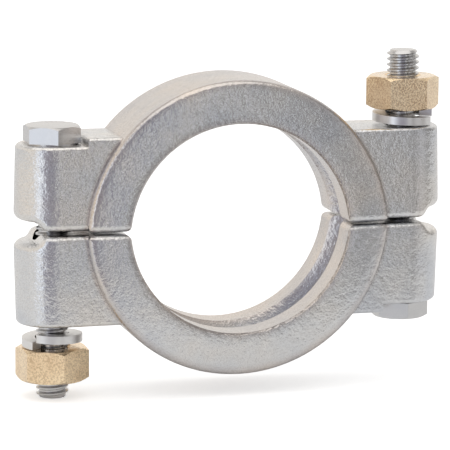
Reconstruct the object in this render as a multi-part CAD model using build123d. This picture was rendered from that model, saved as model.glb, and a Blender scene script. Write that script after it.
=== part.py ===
from build123d import *
import math
import os

# Two-bolt high-pressure clamp for a sanitary ferrule joint, in millimetres.
# The bore's axis is Y, the parting plane is Z = 0 and the bolts run along Z.
# Both halves are the same casting: the lower one is the upper turned about Y.

# V groove that draws the two ferrules together
LIP_RADIUS = 27.5
GROOVE_DEPTH = 5.3
GROOVE_MOUTH_HALF_WIDTH = 4.3
GROOVE_FLANK_DEG = 20.0

# Ring of each half: an arc whose centre lies past the parting plane
RING_WALL = 5.2
LIP_LAND = 7.4
FACE_TAPER = 0.8
ARC_SETBACK = 1.75
RIM_FILLET = 1.3
LIP_CHAMFER = 0.5

# Parting joint
RING_GAP = 0.5
LUG_GAP = 1.0
MATING_FILLET = 1.9

# Lugs
BOLT_BEYOND_RIM = 6.45
LUG_STEP_BACK = 1.5
LUG_HEIGHT = 23.0
LUG_DRAFT_DEG = 1.5
LUG_TOP_FILLET = 1.1
HEAD_SEAT_DEPTH = 2.0
HEAD_TO_SHOULDER = 0.7
BOLT_HOLE_CLEARANCE = 0.75

# Relief under the outer end of each lug
RELIEF_DEPTH = 2.1
RELIEF_BEYOND_BOLT = 4.0
RELIEF_SLOPE_DEG = 60.0
RELIEF_CREST_EXTRA = 0.4
RELIEF_ROOT_RADIUS = 1.0

# Hexagon bolts, 5/16 inch
BOLT_DIAMETER = 7.94
BOLT_PROJECTION = 4.45
BOLT_END_CHAMFER = 0.8
HEAD_WIDTH = 12.7
HEAD_HEIGHT = 4.4
HEAD_FACE_THICKNESS = 0.35
HEX_CHAMFER_DEG = 30.0

# Nuts
NUT_WIDTH = 15.875
NUT_HEIGHT = 8.0
NUT_BORE_CLEARANCE = 0.05
NUT_COUNTERSINK = 0.6
LEFT_NUT_TURN_DEG = 6.4
RIGHT_NUT_TURN_DEG = 23.0
LEFT_NUT_SLACK = 1.9

# Split lock washers, in their free form
WASHER_BORE_CLEARANCE = 0.23
WASHER_BAND = 3.2
WASHER_THICKNESS = 2.0
WASHER_RISE = 1.95
WASHER_SPLIT_DEG = 9.0
LEFT_WASHER_SPLIT_AT_DEG = 222.0
RIGHT_WASHER_SPLIT_AT_DEG = 330.0
WASHER_SEAT_GAP = 0.1

# Worked out from the sizes above
GROOVE_RADIUS = LIP_RADIUS + GROOVE_DEPTH
RIM_RADIUS = GROOVE_RADIUS + RING_WALL
LIP_HALF_WIDTH = GROOVE_MOUTH_HALF_WIDTH + LIP_LAND
RIM_HALF_WIDTH = LIP_HALF_WIDTH - FACE_TAPER
GROOVE_FLOOR_HALF_WIDTH = GROOVE_MOUTH_HALF_WIDTH - GROOVE_DEPTH * math.tan(
    math.radians(GROOVE_FLANK_DEG)
)
RING_FACE_Z = RING_GAP / 2
LUG_FACE_Z = LUG_GAP / 2
RELIEF_Z = LUG_FACE_Z + RELIEF_DEPTH
LUG_RADIUS = RIM_HALF_WIDTH - LUG_STEP_BACK
BOLT_RADIUS = BOLT_DIAMETER / 2
BOLT_X = RIM_RADIUS + BOLT_BEYOND_RIM
LUG_END_X = BOLT_X + LUG_RADIUS
LUG_ROOT_X = LIP_RADIUS / 2
RELIEF_X = BOLT_X + RELIEF_BEYOND_BOLT
SHOULDER_X = BOLT_X - HEAD_WIDTH / 2 - HEAD_TO_SHOULDER
HEAD_SEAT_Z = LUG_HEIGHT - HEAD_SEAT_DEPTH
WASHER_HEIGHT = WASHER_THICKNESS + WASHER_RISE
RIGHT_NUT_Z = LUG_HEIGHT + WASHER_HEIGHT + 2 * WASHER_SEAT_GAP
LEFT_NUT_Z = RIGHT_NUT_Z + LEFT_NUT_SLACK
BOLT_LENGTH = HEAD_SEAT_Z + LEFT_NUT_Z + NUT_HEIGHT + BOLT_PROJECTION


def level_edges(solid, z):
    """The edges that lie flat at height z."""
    return solid.edges().filter_by(
        lambda edge: abs(edge.center().Z - z) < 0.001 and edge.bounding_box().size.Z < 0.001
    )


def ring_section(rounded):
    """Section of the ring: X is the radius and Y the place along the bore."""
    rim_corner = (RIM_RADIUS, RIM_HALF_WIDTH)
    lip_corner = (LIP_RADIUS, LIP_HALF_WIDTH)
    with BuildSketch() as section:
        with BuildLine():
            Polyline(
                rim_corner,
                (RIM_RADIUS, 0),
                (GROOVE_RADIUS, 0),
                (GROOVE_RADIUS, GROOVE_FLOOR_HALF_WIDTH),
                (LIP_RADIUS, GROOVE_MOUTH_HALF_WIDTH),
                lip_corner,
                close=True,
            )
        make_face()
        if rounded:
            fillet(section.vertices().sort_by_distance(rim_corner)[0], RIM_FILLET)
            chamfer(section.vertices().sort_by_distance(lip_corner)[0], LIP_CHAMFER)
        mirror(about=Plane.XZ)
    return section.sketch


def ring(rounded):
    """The whole ring about the arc's own centre, with sharp or finished corners."""
    return Pos(0, 0, -ARC_SETBACK) * revolve(ring_section(rounded), Axis.Y, 360)


def ring_half():
    """The ring above the parting plane: its ends are rounded first, then its rims and lips."""
    above = Pos(0, 0, RING_FACE_Z) * Box(
        3 * RIM_RADIUS, 3 * LIP_HALF_WIDTH, 2 * RIM_RADIUS, align=(Align.CENTER, Align.CENTER, Align.MIN)
    )
    half = ring(rounded=False) & above
    ends = level_edges(half, RING_FACE_Z).filter_by(
        lambda edge: abs(edge.center().Y) > GROOVE_MOUTH_HALF_WIDTH
        or abs(edge.center().X) > GROOVE_RADIUS + RING_WALL / 2
    )
    return fillet(ends, MATING_FILLET) & ring(rounded=True)


def lug_blank():
    """The drafted block with a half-round end that stands on the lug's mating face."""
    with BuildSketch(Plane.XY.offset(LUG_FACE_Z)) as plan:
        with Locations((BOLT_X, 0)):
            Circle(LUG_RADIUS)
        with Locations((LUG_ROOT_X, 0)):
            Rectangle(BOLT_X - LUG_ROOT_X, 2 * LUG_RADIUS, align=(Align.MIN, Align.CENTER))
    return extrude(plan.sketch, LUG_HEIGHT - LUG_FACE_Z, taper=LUG_DRAFT_DEG)


def relief_cutter():
    """What is taken from under the lug's end: a flat step with a rounded slope."""
    half_run = RELIEF_DEPTH / math.tan(math.radians(RELIEF_SLOPE_DEG)) / 2
    crest = (RELIEF_X - half_run, LUG_FACE_Z)
    root = (RELIEF_X + half_run, RELIEF_Z)
    crest_radius = MATING_FILLET + RELIEF_CREST_EXTRA
    below = LUG_FACE_Z - RELIEF_DEPTH
    start_x = crest[0] - 2 * crest_radius
    with BuildSketch(Plane.XZ) as profile:
        with BuildLine():
            Polyline(
                (start_x, LUG_FACE_Z),
                crest,
                root,
                (2 * LUG_END_X, RELIEF_Z),
                (2 * LUG_END_X, below),
                (start_x, below),
                close=True,
            )
        make_face()
        fillet(profile.vertices().sort_by_distance(crest)[0], crest_radius)
        fillet(profile.vertices().sort_by_distance(root)[0], RELIEF_ROOT_RADIUS)
    return extrude(profile.sketch, 2 * LUG_RADIUS, both=True)


def round_mating_edge(lug):
    """Rounds the lower outline of a lug, along its relief as well."""
    outline = lug.edges().filter_by(
        lambda edge: edge.bounding_box().max.Z < RELIEF_Z + 0.001
        and edge.center().X > LUG_ROOT_X + LUG_STEP_BACK
        and edge.bounding_box().size.X > 0.001
    )
    return fillet(outline, MATING_FILLET)


def nut_lug():
    """A lug with a flat top for the nut, towards +X."""
    lug = round_mating_edge(lug_blank() - relief_cutter())
    top = level_edges(lug, LUG_HEIGHT).filter_by(
        lambda edge: edge.bounding_box().size.X > 0.001
    )
    return fillet(top, LUG_TOP_FILLET)


def head_lug():
    """A lug with a sunk seat and a shoulder that keeps the bolt's head from turning."""
    seat = Pos(SHOULDER_X, 0, HEAD_SEAT_Z) * Box(
        LUG_END_X, 3 * LUG_RADIUS, LUG_HEIGHT, align=(Align.MIN, Align.CENTER, Align.MIN)
    )
    lug = round_mating_edge(lug_blank() - relief_cutter()) - seat
    rim = level_edges(lug, HEAD_SEAT_Z).filter_by(
        lambda edge: edge.bounding_box().size.X > 0.001
    )
    lug = fillet(rim, LUG_TOP_FILLET)
    ledge = level_edges(lug, LUG_HEIGHT).filter_by(
        lambda edge: edge.center().X > LUG_ROOT_X + LUG_STEP_BACK
    )
    return fillet(ledge, LUG_TOP_FILLET)


def clamp_half():
    """The upper casting: head seat on the left lug, nut seat on the right one."""
    bolt_hole = Cylinder(BOLT_RADIUS + BOLT_HOLE_CLEARANCE, 3 * LUG_HEIGHT)
    inside = Pos(0, 0, -ARC_SETBACK) * Rot(90, 0, 0) * Cylinder(
        GROOVE_RADIUS + RING_WALL / 2, 4 * LIP_HALF_WIDTH
    )
    right = nut_lug() - inside
    left = Rot(0, 0, 180) * head_lug() - inside
    half = ring_half() + right + left
    for side in (-1, 1):
        half -= Pos(side * BOLT_X, 0, 0) * bolt_hole
    return half


def hexagon(width, height):
    """A hexagonal prism from Z = 0, two flats facing along X, its top corners turned off."""
    prism = extrude(RegularPolygon(width / 2, 6, major_radius=False, rotation=30), height)
    fall = width * math.tan(math.radians(HEX_CHAMFER_DEG))
    with BuildSketch(Plane.XZ) as corner:
        with BuildLine():
            Polyline(
                (width / 2, height),
                (width * 3 / 2, height),
                (width * 3 / 2, height - fall),
                close=True,
            )
        make_face()
    return prism - revolve(corner.sketch, Axis.Z, 360)


def bolt():
    """A hexagon bolt hanging from its seat at Z = 0, plain where it is threaded."""
    head = Pos(0, 0, HEAD_FACE_THICKNESS) * hexagon(HEAD_WIDTH, HEAD_HEIGHT - HEAD_FACE_THICKNESS)
    bearing_face = Cylinder(
        HEAD_WIDTH / 2, HEAD_FACE_THICKNESS, align=(Align.CENTER, Align.CENTER, Align.MIN)
    )
    shank = Cylinder(BOLT_RADIUS, BOLT_LENGTH, align=(Align.CENTER, Align.CENTER, Align.MAX))
    shank = chamfer(level_edges(shank, -BOLT_LENGTH), BOLT_END_CHAMFER)
    return head + bearing_face + shank


def nut(turn_deg):
    """A hexagon nut from Z = 0 up, chamfered and countersunk at both ends."""
    bore_radius = BOLT_RADIUS + NUT_BORE_CLEARANCE
    half_nut = hexagon(NUT_WIDTH, NUT_HEIGHT / 2)
    body = Pos(0, 0, NUT_HEIGHT / 2) * (half_nut + mirror(half_nut, about=Plane.XY))
    body -= Cylinder(bore_radius, 3 * NUT_HEIGHT)
    mouths = body.edges().filter_by(GeomType.CIRCLE).filter_by(
        lambda edge: abs(edge.radius - bore_radius) < 0.001
    )
    return Rot(0, 0, turn_deg) * chamfer(mouths, NUT_COUNTERSINK)


def lock_washer(split_at_deg):
    """A split spring washer from Z = 0 up, wound left-handed, with its ends apart."""
    turn = 1 - WASHER_SPLIT_DEG / 360
    mean_radius = BOLT_RADIUS + WASHER_BORE_CLEARANCE + WASHER_BAND / 2
    coil = Helix(
        pitch=WASHER_RISE / turn, height=WASHER_RISE, radius=mean_radius, lefthand=True
    )
    band = Plane(origin=(mean_radius, 0, 0), x_dir=(1, 0, 0), z_dir=(0, -1, 0)) * Rectangle(
        WASHER_BAND, WASHER_THICKNESS
    )
    spring = sweep(band, path=coil, is_frenet=True)
    start_deg = split_at_deg - WASHER_SPLIT_DEG / 2
    return Pos(0, 0, WASHER_THICKNESS / 2) * Rot(0, 0, start_deg) * spring


def build():
    """Every piece of the clamp in its place, by name."""
    turned_over = Rot(0, 180, 0)
    upper_half = clamp_half()
    left_bolt = Pos(-BOLT_X, 0, HEAD_SEAT_Z) * bolt()
    return {
        "upper_half": upper_half,
        "lower_half": turned_over * upper_half,
        "left_bolt": left_bolt,
        "right_bolt": turned_over * left_bolt,
        "left_nut": Pos(-BOLT_X, 0, -LEFT_NUT_Z - NUT_HEIGHT) * nut(LEFT_NUT_TURN_DEG),
        "right_nut": Pos(BOLT_X, 0, RIGHT_NUT_Z) * nut(RIGHT_NUT_TURN_DEG),
        "left_lock_washer": Pos(-BOLT_X, 0, WASHER_SEAT_GAP - LEFT_NUT_Z)
        * lock_washer(LEFT_WASHER_SPLIT_AT_DEG),
        "right_lock_washer": Pos(BOLT_X, 0, WASHER_SEAT_GAP + LUG_HEIGHT)
        * lock_washer(RIGHT_WASHER_SPLIT_AT_DEG),
    }


os.makedirs("parts", exist_ok=True)
for name, solid in build().items():
    export_step(solid, f"parts/{name}.step")
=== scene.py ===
import math

import bmesh
import bpy
from mathutils import Matrix, Vector


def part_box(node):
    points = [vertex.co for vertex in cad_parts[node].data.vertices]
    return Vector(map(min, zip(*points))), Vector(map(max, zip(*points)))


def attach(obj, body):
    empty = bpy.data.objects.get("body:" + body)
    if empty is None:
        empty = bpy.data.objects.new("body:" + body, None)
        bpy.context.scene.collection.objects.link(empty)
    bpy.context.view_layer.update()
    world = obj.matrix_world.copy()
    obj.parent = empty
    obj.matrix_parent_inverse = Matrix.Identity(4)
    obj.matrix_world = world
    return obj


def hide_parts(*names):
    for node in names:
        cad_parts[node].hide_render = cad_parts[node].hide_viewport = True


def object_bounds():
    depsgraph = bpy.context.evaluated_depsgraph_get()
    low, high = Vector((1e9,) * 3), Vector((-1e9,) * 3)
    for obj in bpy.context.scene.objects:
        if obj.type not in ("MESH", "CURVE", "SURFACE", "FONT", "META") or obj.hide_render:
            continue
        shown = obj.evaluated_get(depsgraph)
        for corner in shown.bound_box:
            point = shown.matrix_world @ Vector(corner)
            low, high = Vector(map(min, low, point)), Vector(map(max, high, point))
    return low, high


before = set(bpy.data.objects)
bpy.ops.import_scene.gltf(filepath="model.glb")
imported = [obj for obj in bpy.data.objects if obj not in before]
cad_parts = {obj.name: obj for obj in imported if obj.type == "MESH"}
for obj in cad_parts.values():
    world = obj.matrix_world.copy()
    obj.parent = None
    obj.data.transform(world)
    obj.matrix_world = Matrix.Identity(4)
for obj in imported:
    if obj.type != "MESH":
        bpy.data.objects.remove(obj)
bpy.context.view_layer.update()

# --- The two castings -----------------------------------------------------------------------
# Each half of the clamp is one investment casting in stainless steel. It is left as cast and
# tumbled: softly dimpled and matt all over, with painted shade in fine dark specks and in a
# darker brown along the lip and the rim.

cast_grey = (0.71, 0.71, 0.71, 1)
cast_warm = (0.76, 0.73, 0.695, 1)
cast_cool = (0.63, 0.645, 0.675, 1)
# painted shade: the darker brown laid along the lip and the rim
cast_rim_shade = (0.88, 0.83, 0.80, 1)
# painted shade: the colour of the fine dark specks
cast_pit_shade = (0.62, 0.60, 0.59, 1)
untinted = (1, 1, 1, 1)
arc_setback = 0.00175
arc_middle = 0.03275
arc_half_band = 0.0053
crown_height = 0.00042
# radii over which the painted shade at the lip and the rim is laid
rim_shade_from_radius, rim_shade_to_radius = 0.0270, 0.0390


def bare_metal(name):
    """A metal finish, with what its patterns are wired to."""
    finish = bpy.data.materials.new(name)
    finish.use_nodes = True
    nodes, links = finish.node_tree.nodes, finish.node_tree.links
    skin = nodes["Principled BSDF"]
    skin.inputs["Metallic"].default_value = 1.0
    place = nodes.new("ShaderNodeTexCoord")
    return finish, nodes, links, skin, place.outputs["Object"]


def mottle(nodes, links, place, scale, detail):
    """Irregular spots, smaller as the scale goes up."""
    spots = nodes.new("ShaderNodeTexNoise")
    spots.inputs["Scale"].default_value = scale
    spots.inputs["Detail"].default_value = detail
    links.new(place, spots.inputs["Vector"])
    return spots


def shaded(nodes, links, source, first, last, between=()):
    """Colours along a measure, each with the spot where it stands."""
    shades = nodes.new("ShaderNodeValToRGB")
    for stop, (spot, colour) in zip(shades.color_ramp.elements, (first, last)):
        stop.position = spot
        stop.color = colour
    for spot, colour in between:
        shades.color_ramp.elements.new(spot).color = colour
    links.new(source, shades.inputs["Fac"])
    return shades.outputs["Color"]


def darkened(nodes, links, colour, by, amount):
    """One colour multiplied by another."""
    both = nodes.new("ShaderNodeMixRGB")
    both.blend_type = "MULTIPLY"
    both.inputs["Fac"].default_value = amount
    links.new(colour, both.inputs["Color1"])
    links.new(by, both.inputs["Color2"])
    return both.outputs["Color"]


def raised(nodes, links, source, strength, height, under=None):
    """Relief of this height, laid over other relief where there is some."""
    relief = nodes.new("ShaderNodeBump")
    relief.inputs["Strength"].default_value = strength
    relief.inputs["Distance"].default_value = height
    links.new(source, relief.inputs["Height"])
    if under:
        links.new(under.outputs["Normal"], relief.inputs["Normal"])
    return relief


def polished(nodes, links, skin, source, smoothest, roughest, least=0.0, most=1.0):
    """Roughness that follows a pattern."""
    sheen = nodes.new("ShaderNodeMapRange")
    sheen.inputs["From Min"].default_value = least
    sheen.inputs["From Max"].default_value = most
    sheen.inputs["To Min"].default_value = smoothest
    sheen.inputs["To Max"].default_value = roughest
    links.new(source, sheen.inputs["Value"])
    links.new(sheen.outputs["Result"], skin.inputs["Roughness"])


def squared(nodes, links, source):
    product = nodes.new("ShaderNodeMath")
    product.operation = "MULTIPLY"
    links.new(source, product.inputs[0])
    links.new(source, product.inputs[1])
    return product.outputs["Value"]


def cast_stainless():
    finish, nodes, links, skin, place = bare_metal("cast_stainless_finish")

    # broad patches of warmer and cooler metal, with fine dark specks painted on as shade for the
    # pits of the grain
    patches = mottle(nodes, links, place, 55, 3)
    tint = shaded(
        nodes, links, patches.outputs["Fac"],
        (0.35, cast_cool), (0.65, cast_warm), [(0.5, cast_grey)],
    )
    pit_shade_spots = mottle(nodes, links, place, 2800, 2)
    painted_pit_shade = shaded(nodes, links, pit_shade_spots.outputs["Fac"], (0.36, cast_pit_shade), (0.56, untinted))
    speckled = darkened(nodes, links, tint, painted_pit_shade, 0.35)

    # distance from the centre of each half's own arc, which lies past the joint
    axes = nodes.new("ShaderNodeSeparateXYZ")
    links.new(place, axes.inputs["Vector"])
    off_joint = nodes.new("ShaderNodeMath")
    off_joint.operation = "ABSOLUTE"
    links.new(axes.outputs["Z"], off_joint.inputs[0])
    off_centre = nodes.new("ShaderNodeMath")
    off_centre.inputs[1].default_value = arc_setback
    links.new(off_joint.outputs["Value"], off_centre.inputs[0])
    from_centre = nodes.new("ShaderNodeCombineXYZ")
    links.new(axes.outputs["X"], from_centre.inputs["X"])
    links.new(off_centre.outputs["Value"], from_centre.inputs["Z"])
    radius = nodes.new("ShaderNodeVectorMath")
    radius.operation = "LENGTH"
    links.new(from_centre.outputs["Vector"], radius.inputs[0])

    # the broad faces of the arc look flat in the middle and roll over towards the lip and the
    # rim; this is relief in the finish, and the solid's own faces stay flat
    across = nodes.new("ShaderNodeMapRange")
    across.inputs["From Min"].default_value = arc_middle - arc_half_band
    across.inputs["From Max"].default_value = arc_middle + arc_half_band
    across.inputs["To Min"].default_value = -1
    across.inputs["To Max"].default_value = 1
    links.new(radius.outputs["Value"], across.inputs["Value"])
    rolled = squared(nodes, links, squared(nodes, links, across.outputs["Result"]))
    crown_relief = raised(nodes, links, rolled, 1.0, crown_height)
    crown_relief.invert = True

    # painted shade: a darker brown tint along the lip and the rim, where the faces roll over and
    # turn dark
    rim_shade_span = nodes.new("ShaderNodeMapRange")
    rim_shade_span.inputs["From Min"].default_value = rim_shade_from_radius
    rim_shade_span.inputs["From Max"].default_value = rim_shade_to_radius
    links.new(radius.outputs["Value"], rim_shade_span.inputs["Value"])
    painted_rim_shade = shaded(
        nodes, links, rim_shade_span.outputs["Result"], (0.06, cast_rim_shade), (0.99, untinted),
        [(0.20, untinted), (0.72, untinted), (0.86, cast_rim_shade), (0.93, cast_rim_shade)],
    )
    links.new(darkened(nodes, links, speckled, painted_rim_shade, 1.0), skin.inputs["Base Color"])

    # dimples of the ceramic mould, about a millimetre across, and the blasted grain on them
    dimples = mottle(nodes, links, place, 760, 2)
    dimples.inputs["Roughness"].default_value = 0.45
    grain = mottle(nodes, links, place, 2200, 2)
    dimple_relief = raised(nodes, links, dimples.outputs["Fac"], 0.8, 0.00018, crown_relief)
    grain_relief = raised(nodes, links, grain.outputs["Fac"], 0.8, 0.0001, dimple_relief)
    links.new(grain_relief.outputs["Normal"], skin.inputs["Normal"])
    polished(nodes, links, skin, dimples.outputs["Fac"], 0.18, 0.30)
    return finish


casting_finish = cast_stainless()
for half in ("upper_half", "lower_half"):
    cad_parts[half].data.materials.clear()
    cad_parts[half].data.materials.append(casting_finish)

# --- The two bolts --------------------------------------------------------------------------
# Hexagon bolts, 5/16 inch with 18 threads to the inch, cold-headed and rolled in stainless
# steel. The head keeps the forged shape of the frame's bolt and the thread runs its full length.

threads_per_inch = 18
thread_pitch = 0.0254 / threads_per_inch
thread_crest = 0.00396
thread_depth = 0.00076
thread_root = thread_crest - thread_depth
thread_flat = thread_pitch * 0.24
thread_slope = thread_pitch / 2 - thread_flat
thread_steps = 40
thread_lead_in = 1.5 * thread_pitch
tip_chamfer = 0.0008
neck_under_head = 0.0004
head_edge = 0.00018
sharp_over_deg = 12
weld_distance = 2e-6


def bolt_steel():
    finish, nodes, links, skin, place = bare_metal("bolt_steel_finish")
    haze = mottle(nodes, links, place, 260, 4)
    scuffs = mottle(nodes, links, place, 2600, 2)
    tint = shaded(
        nodes, links, haze.outputs["Fac"], (0, (0.50, 0.50, 0.51, 1)), (1, (0.68, 0.67, 0.66, 1))
    )
    links.new(tint, skin.inputs["Base Color"])
    polished(nodes, links, skin, haze.outputs["Fac"], 0.18, 0.32)
    relief = raised(nodes, links, scuffs.outputs["Fac"], 0.25, 0.00004)
    links.new(relief.outputs["Normal"], skin.inputs["Normal"])
    return finish


def merged_copy(node):
    """The frame's solid as one welded mesh."""
    form = bmesh.new()
    form.from_mesh(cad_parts[node].data)
    bmesh.ops.remove_doubles(form, verts=form.verts, dist=weld_distance)
    bmesh.ops.dissolve_limit(
        form, angle_limit=math.radians(0.5), verts=form.verts, edges=form.edges
    )
    return form


def round_sharp_edges(form, width, over_deg):
    """Breaks the edges that turn by more than this angle."""
    sharp = [
        edge for edge in form.edges
        if len(edge.link_faces) == 2 and edge.calc_face_angle() > math.radians(over_deg)
    ]
    bmesh.ops.bevel(
        form, geom=sharp, offset=width, offset_type="OFFSET", segments=2,
        profile=0.5, affect="EDGES", material=-1, clamp_overlap=True,
    )


def cut_off(form, at, towards):
    """Takes away what lies past a level plane, and closes the cut."""
    bmesh.ops.bisect_plane(
        form, geom=form.verts[:] + form.edges[:] + form.faces[:], dist=1e-7,
        plane_co=at, plane_no=(0, 0, towards), clear_outer=True,
    )
    bmesh.ops.holes_fill(form, edges=[edge for edge in form.edges if edge.is_boundary])


def new_piece(name, form, finish, body, replaced):
    """Closes a mesh off as a piece that stands for a node of the frame."""
    mesh = bpy.data.meshes.new(name)
    form.to_mesh(mesh)
    form.free()
    for face in mesh.polygons:
        face.use_smooth = True
    mesh.set_sharp_from_angle(angle=math.radians(sharp_over_deg))
    mesh.materials.append(finish)
    piece = bpy.data.objects.new(name, mesh)
    bpy.context.scene.collection.objects.link(piece)
    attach(piece, body)
    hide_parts(replaced)


def spun_thread(length):
    """A threaded rod that stands on its coned tip, one lead-in above the origin."""
    # one thread profile for the whole length, spun once round while it rises by one pitch
    turns = int(length / thread_pitch) + 3
    rod = bmesh.new()
    profile = []
    for turn in range(turns):
        foot = turn * thread_pitch
        for rise, radius in (
            (0, thread_root), (thread_flat, thread_root),
            (thread_flat + thread_slope, thread_crest),
            (2 * thread_flat + thread_slope, thread_crest),
        ):
            profile.append(rod.verts.new((radius, 0, foot + rise)))
    profile.append(rod.verts.new((thread_root, 0, turns * thread_pitch)))
    line = [rod.edges.new(pair) for pair in zip(profile, profile[1:])]
    bmesh.ops.spin(
        rod, geom=profile + line, cent=(0, 0, 0), axis=(0, 0, 1), angle=math.tau,
        dvec=(0, 0, thread_pitch / thread_steps), steps=thread_steps, use_merge=False,
    )
    bmesh.ops.remove_doubles(rod, verts=rod.verts, dist=weld_distance)
    cut_off(rod, (0, 0, thread_lead_in), -1)
    cut_off(rod, (0, 0, thread_lead_in + length), 1)

    # the tip is turned down to a short cone over the last thread
    for vert in rod.verts:
        above_tip = vert.co.z - thread_lead_in
        if above_tip < tip_chamfer:
            reach = thread_crest - (tip_chamfer - above_tip)
            radius = math.hypot(vert.co.x, vert.co.y)
            if radius > reach:
                vert.co.x *= reach / radius
                vert.co.y *= reach / radius
    bmesh.ops.recalc_face_normals(rod, faces=rod.faces)
    return rod


def threaded_bolt(name, node, body, up):
    """A bolt with its head up (1) or down (-1)."""
    low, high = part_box(node)
    across = (high.x - low.x) / 2
    axis_x = (low.x + high.x) / 2
    head_end, tip = (high.z, low.z) if up > 0 else (low.z, high.z)

    # the frame's bolt gives the head; its plain shank is cut away just under it
    form = merged_copy(node)
    rim_is_past = 0.9 * across
    under_head = min(
        (v.co.z for v in form.verts if math.hypot(v.co.x - axis_x, v.co.y) > rim_is_past),
        key=lambda z: -abs(z - head_end),
    )
    cut_off(form, (axis_x, 0, under_head - up * neck_under_head), -up)
    round_sharp_edges(form, head_edge, 25)

    rod = spun_thread(abs(under_head - tip))
    to_place = Matrix.Translation((axis_x, 0, tip)) @ Matrix.Rotation(
        0 if up > 0 else math.pi, 4, "X"
    ) @ Matrix.Translation((0, 0, -thread_lead_in))
    bmesh.ops.transform(rod, matrix=to_place, verts=rod.verts)
    shank = bpy.data.meshes.new("shank")
    rod.to_mesh(shank)
    rod.free()
    form.from_mesh(shank)
    bpy.data.meshes.remove(shank)
    new_piece(name, form, bolt_finish, body, node)


bolt_finish = bolt_steel()
threaded_bolt("left_hex_bolt", "left_bolt", "upper", 1)
threaded_bolt("right_hex_bolt", "right_bolt", "lower", -1)

# --- The two nuts ---------------------------------------------------------------------------
# Hexagon nuts, wider than the bolts' heads, turned from bronze bar, which doesn't gall on a
# stainless thread. Their flats keep the bar's dull skin, and their ends are chamfered.

nut_edge = 0.00022


def nut_bronze():
    finish, nodes, links, skin, place = bare_metal("nut_bronze_finish")
    cloud = mottle(nodes, links, place, 210, 5)
    pits = mottle(nodes, links, place, 2300, 3)
    tint = shaded(
        nodes, links, cloud.outputs["Fac"],
        (0.3, (0.90, 0.69, 0.45, 1)), (0.7, (1.0, 0.81, 0.55, 1)),
    )
    tarnish = shaded(
        nodes, links, pits.outputs["Fac"], (0.38, (0.62, 0.56, 0.52, 1)), (0.58, untinted)
    )
    links.new(darkened(nodes, links, tint, tarnish, 0.75), skin.inputs["Base Color"])
    polished(nodes, links, skin, pits.outputs["Fac"], 0.12, 0.20, 0.3, 0.7)
    relief = raised(nodes, links, pits.outputs["Fac"], 0.5, 0.00006)
    links.new(relief.outputs["Normal"], skin.inputs["Normal"])
    return finish


nut_finish = nut_bronze()
for side in ("left", "right"):
    nut = merged_copy(f"{side}_nut")
    round_sharp_edges(nut, nut_edge, 25)
    new_piece(f"{side}_hex_nut", nut, nut_finish, f"{side}_nut", f"{side}_nut")

# --- The two lock washers -------------------------------------------------------------------
# Split spring washers coiled from square-edged steel wire, so their ends stand apart. The
# right one lies on the lug under its nut and the left one hangs on its nut.

washer_edge = 0.0002


def washer_steel():
    finish, nodes, links, skin, place = bare_metal("washer_steel_finish")
    skin.inputs["Base Color"].default_value = (0.74, 0.73, 0.72, 1)
    wear = mottle(nodes, links, place, 900, 3)
    polished(nodes, links, skin, wear.outputs["Fac"], 0.22, 0.42)
    relief = raised(nodes, links, wear.outputs["Fac"], 0.3, 0.00005)
    links.new(relief.outputs["Normal"], skin.inputs["Normal"])
    return finish


washer_finish = washer_steel()
for side, body in (("left", "left_nut"), ("right", "upper")):
    washer = merged_copy(f"{side}_lock_washer")
    round_sharp_edges(washer, washer_edge, 40)
    new_piece(
        f"{side}_spring_washer", washer, washer_finish, body,
        f"{side}_lock_washer",
    )

# --- Floor ----------------------------------------------------------------------------------
# A white table top under the lowest bolt end, which starts just ahead of the clamp and runs
# back from it. It glows a little, more to the camera than to the metal, and takes a shadow.

table_half_side = 1.2
table_ahead_of_clamp = 0.08
glow_to_metal, glow_to_camera = 0.1, 0.5

low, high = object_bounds()
table_form = bmesh.new()
bmesh.ops.create_grid(table_form, x_segments=1, y_segments=1, size=table_half_side)
bmesh.ops.translate(
    table_form, verts=table_form.verts,
    vec=(0, table_half_side - table_ahead_of_clamp, low.z),
)
table_mesh = bpy.data.meshes.new("table_top")
table_form.to_mesh(table_mesh)
table_form.free()
white_top = bpy.data.materials.new("white_table")
white_top.use_nodes = True
top_nodes, top_links = white_top.node_tree.nodes, white_top.node_tree.links
paint = top_nodes["Principled BSDF"]
paint.inputs["Base Color"].default_value = (0.9, 0.9, 0.9, 1)
paint.inputs["Roughness"].default_value = 0.8
whitening = top_nodes.new("ShaderNodeEmission")
whitened = top_nodes.new("ShaderNodeAddShader")
top_links.new(paint.outputs["BSDF"], whitened.inputs[0])
top_links.new(whitening.outputs["Emission"], whitened.inputs[1])
seen_directly = top_nodes.new("ShaderNodeLightPath")
glow = top_nodes.new("ShaderNodeMapRange")
glow.inputs["To Min"].default_value = glow_to_metal
glow.inputs["To Max"].default_value = glow_to_camera
top_links.new(seen_directly.outputs["Is Camera Ray"], glow.inputs["Value"])
top_links.new(glow.outputs["Result"], whitening.inputs["Strength"])
seen_or_mirrored = top_nodes.new("ShaderNodeMath")
seen_or_mirrored.operation = "MAXIMUM"
top_links.new(seen_directly.outputs["Is Camera Ray"], seen_or_mirrored.inputs[0])
top_links.new(seen_directly.outputs["Is Glossy Ray"], seen_or_mirrored.inputs[1])
top_pick = top_nodes.new("ShaderNodeMixShader")
top_links.new(seen_or_mirrored.outputs["Value"], top_pick.inputs["Fac"])
top_links.new(paint.outputs["BSDF"], top_pick.inputs[1])
top_links.new(whitened.outputs["Shader"], top_pick.inputs[2])
top_links.new(top_pick.outputs["Shader"], top_nodes["Material Output"].inputs["Surface"])
table_mesh.materials.append(white_top)
table_top = bpy.data.objects.new("table_top", table_mesh)
bpy.context.scene.collection.objects.link(table_top)

# --- Light ----------------------------------------------------------------------------------
# A light tent whose bright cloths and dark openings show only in the metal, under an even
# white fill. A large soft lamp hangs overhead and a narrow cool one stands at the front left.

tent_cloth = (1.0, 0.97, 0.93, 1)
tent_roof = (0.55, 0.53, 0.51, 1)
roof_starts, roof_full = 0.55, 0.8
fill_strength = 0.6

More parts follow.
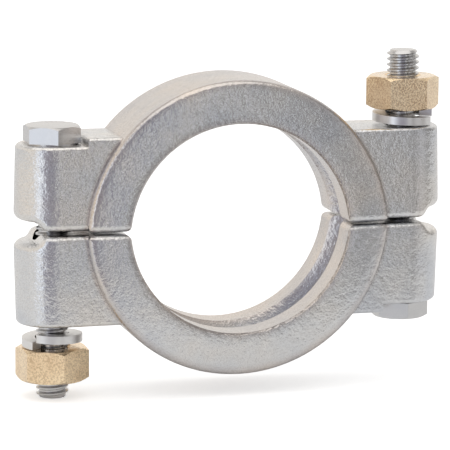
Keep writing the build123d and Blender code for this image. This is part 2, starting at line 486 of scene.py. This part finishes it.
studio = bpy.data.worlds.new("studio")
bpy.context.scene.world = studio
studio.use_nodes = True
studio_nodes, studio_links = studio.node_tree.nodes, studio.node_tree.links
fill = studio_nodes["Background"]
fill.inputs["Color"].default_value = untinted
fill.inputs["Strength"].default_value = fill_strength
direction = studio_nodes.new("ShaderNodeTexCoord")
compass = studio_nodes.new("ShaderNodeSeparateXYZ")
studio_links.new(direction.outputs["Generated"], compass.inputs["Vector"])
forward = studio_nodes.new("ShaderNodeMath")
forward.operation = "MULTIPLY"
forward.inputs[1].default_value = -1
studio_links.new(compass.outputs["Y"], forward.inputs[0])
bearing = studio_nodes.new("ShaderNodeMath")
bearing.operation = "ARCTAN2"
studio_links.new(compass.outputs["X"], bearing.inputs[0])
studio_links.new(forward.outputs["Value"], bearing.inputs[1])
round_room = studio_nodes.new("ShaderNodeMapRange")
round_room.inputs["From Min"].default_value = -math.pi
round_room.inputs["From Max"].default_value = math.pi
studio_links.new(bearing.outputs["Value"], round_room.inputs["Value"])
tent = studio_nodes.new("ShaderNodeValToRGB")
tent.color_ramp.elements[0].color = tent_cloth
tent.color_ramp.elements[1].color = tent_cloth
# bearings run from straight ahead of the clamp, positive to its right
for bearing_deg, shade in (
    (-72, (1.0, 0.92, 0.82, 1)), (-60, (0.78, 0.81, 0.87, 1)), (-40, (0.82, 0.87, 0.96, 1)),
    (-34, (0.35, 0.33, 0.39, 1)), (4, (0.33, 0.33, 0.37, 1)), (10, (1.0, 1.0, 1.0, 1)),
    (15, (1.0, 1.0, 1.0, 1)), (19, (0.20, 0.19, 0.18, 1)), (28, (0.20, 0.19, 0.18, 1)),
    (35, (0.64, 0.63, 0.64, 1)), (56, (0.62, 0.61, 0.61, 1)), (76, (0.32, 0.30, 0.28, 1)),
    (100, (0.34, 0.33, 0.32, 1)), (128, tent_cloth),
):
    tent.color_ramp.elements.new((bearing_deg + 180) / 360).color = shade
studio_links.new(round_room.outputs["Result"], tent.inputs["Fac"])
overhead = studio_nodes.new("ShaderNodeMapRange")
overhead.inputs["From Min"].default_value = roof_starts
overhead.inputs["From Max"].default_value = roof_full
studio_links.new(compass.outputs["Z"], overhead.inputs["Value"])
roofed = studio_nodes.new("ShaderNodeMixRGB")
roofed.inputs["Color2"].default_value = tent_roof
studio_links.new(overhead.outputs["Result"], roofed.inputs["Fac"])
studio_links.new(tent.outputs["Color"], roofed.inputs["Color1"])
reflected = studio_nodes.new("ShaderNodeBackground")
studio_links.new(roofed.outputs["Color"], reflected.inputs["Color"])
behind = studio_nodes.new("ShaderNodeBackground")
behind.inputs["Color"].default_value = untinted
ray = studio_nodes.new("ShaderNodeLightPath")
metal_sees = studio_nodes.new("ShaderNodeMixShader")
studio_links.new(ray.outputs["Is Glossy Ray"], metal_sees.inputs["Fac"])
studio_links.new(fill.outputs["Background"], metal_sees.inputs[1])
studio_links.new(reflected.outputs["Background"], metal_sees.inputs[2])
camera_sees = studio_nodes.new("ShaderNodeMixShader")
studio_links.new(ray.outputs["Is Camera Ray"], camera_sees.inputs["Fac"])
studio_links.new(metal_sees.outputs["Shader"], camera_sees.inputs[1])
studio_links.new(behind.outputs["Background"], camera_sees.inputs[2])
studio_links.new(camera_sees.outputs["Shader"], studio_nodes["World Output"].inputs["Surface"])


def soft_lamp(name, place, width, height, power, colour):
    lamp = bpy.data.lights.new(name, "AREA")
    lamp.shape = "RECTANGLE"
    lamp.size = width
    lamp.size_y = height
    lamp.energy = power
    lamp.color = colour
    holder = bpy.data.objects.new(name, lamp)
    holder.location = place
    holder.rotation_mode = "QUATERNION"
    holder.rotation_quaternion = Vector(place).to_track_quat("Z", "Y")
    bpy.context.scene.collection.objects.link(holder)


soft_lamp("overhead_lamp", (-0.1, -0.1, 0.95), 1.2, 1.2, 3.8, (1.0, 0.98, 0.95))
soft_lamp("front_left_lamp", (-0.725, -0.566, 0.10), 0.22, 0.8, 0.36, (0.86, 0.92, 1.0))

# --- Camera ---------------------------------------------------------------------------------
# A long lens a little to the left of the bore's axis and a little above it.

camera_azimuth, camera_elevation, camera_roll = map(math.radians, (-15.69, 9.91, 0.47))
camera_distance = 0.76874
camera_lens_mm, sensor_width_mm = 250.1, 36
camera_shift = (-0.0083, -0.0080)
back = Vector((
    math.sin(camera_azimuth) * math.cos(camera_elevation),
    -math.cos(camera_azimuth) * math.cos(camera_elevation),
    math.sin(camera_elevation),
))
camera_data = bpy.data.cameras.new("camera")
camera_data.sensor_width = sensor_width_mm
camera_data.lens = camera_lens_mm
camera_data.shift_x, camera_data.shift_y = camera_shift
camera = bpy.data.objects.new("camera", camera_data)
bpy.context.scene.collection.objects.link(camera)
camera.location = back * camera_distance
camera.rotation_mode = "QUATERNION"
camera.rotation_quaternion = (
    (-back).to_track_quat("-Z", "Y") @ Matrix.Rotation(camera_roll, 3, "Z").to_quaternion()
)
bpy.context.scene.camera = camera
bpy.context.scene.view_settings.view_transform = "Standard"
